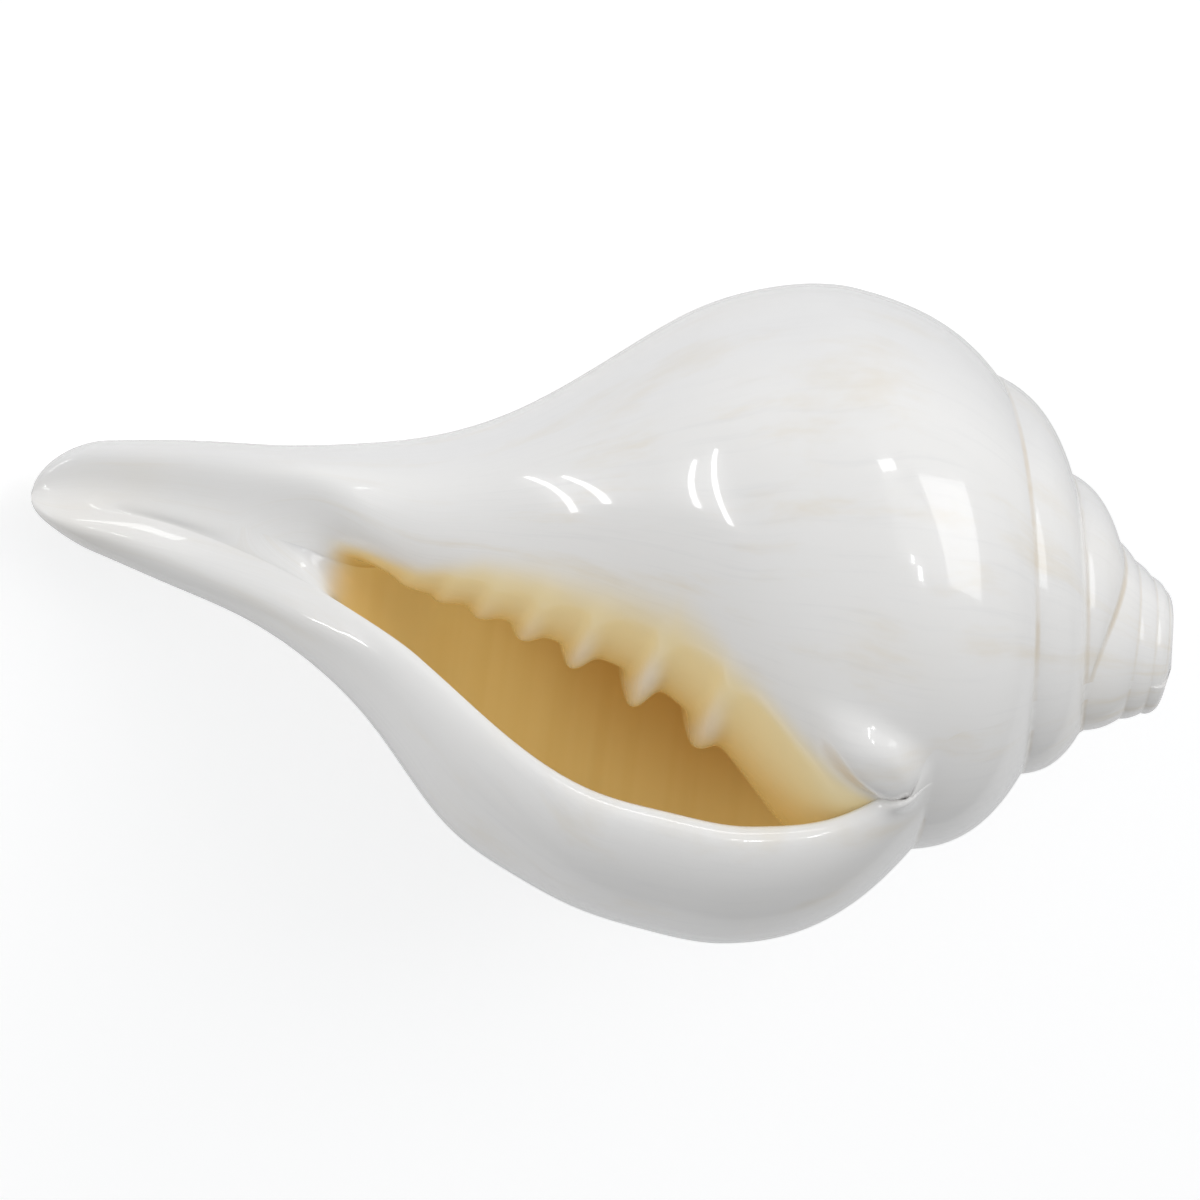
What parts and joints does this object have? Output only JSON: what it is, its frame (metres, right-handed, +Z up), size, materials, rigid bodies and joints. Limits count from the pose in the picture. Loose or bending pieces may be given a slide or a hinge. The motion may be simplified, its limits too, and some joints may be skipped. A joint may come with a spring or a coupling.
{
  "type": "conch shell",
  "caption": "Sacred chank shell with a wide toothed mouth, a long open canal and a low stepped spire, lying on its back.",
  "frame": {"origin": "centre of the bounding box on the surface the shell lies on", "axes": "+X along the shell from the canal's tip towards the apex, as seen from above; +Z up, away from the surface; +Y completes the frame and is the side that the mouth opens to"},
  "size_m": [0.152, 0.0928, 0.0841],
  "materials": {
    "shell": "polished porcelain white with cream growth streaks, warm amber inside the mouth"
  },
  "bodies": {
    "root": {"shell": "shell"}
  },
  "joints": []
}
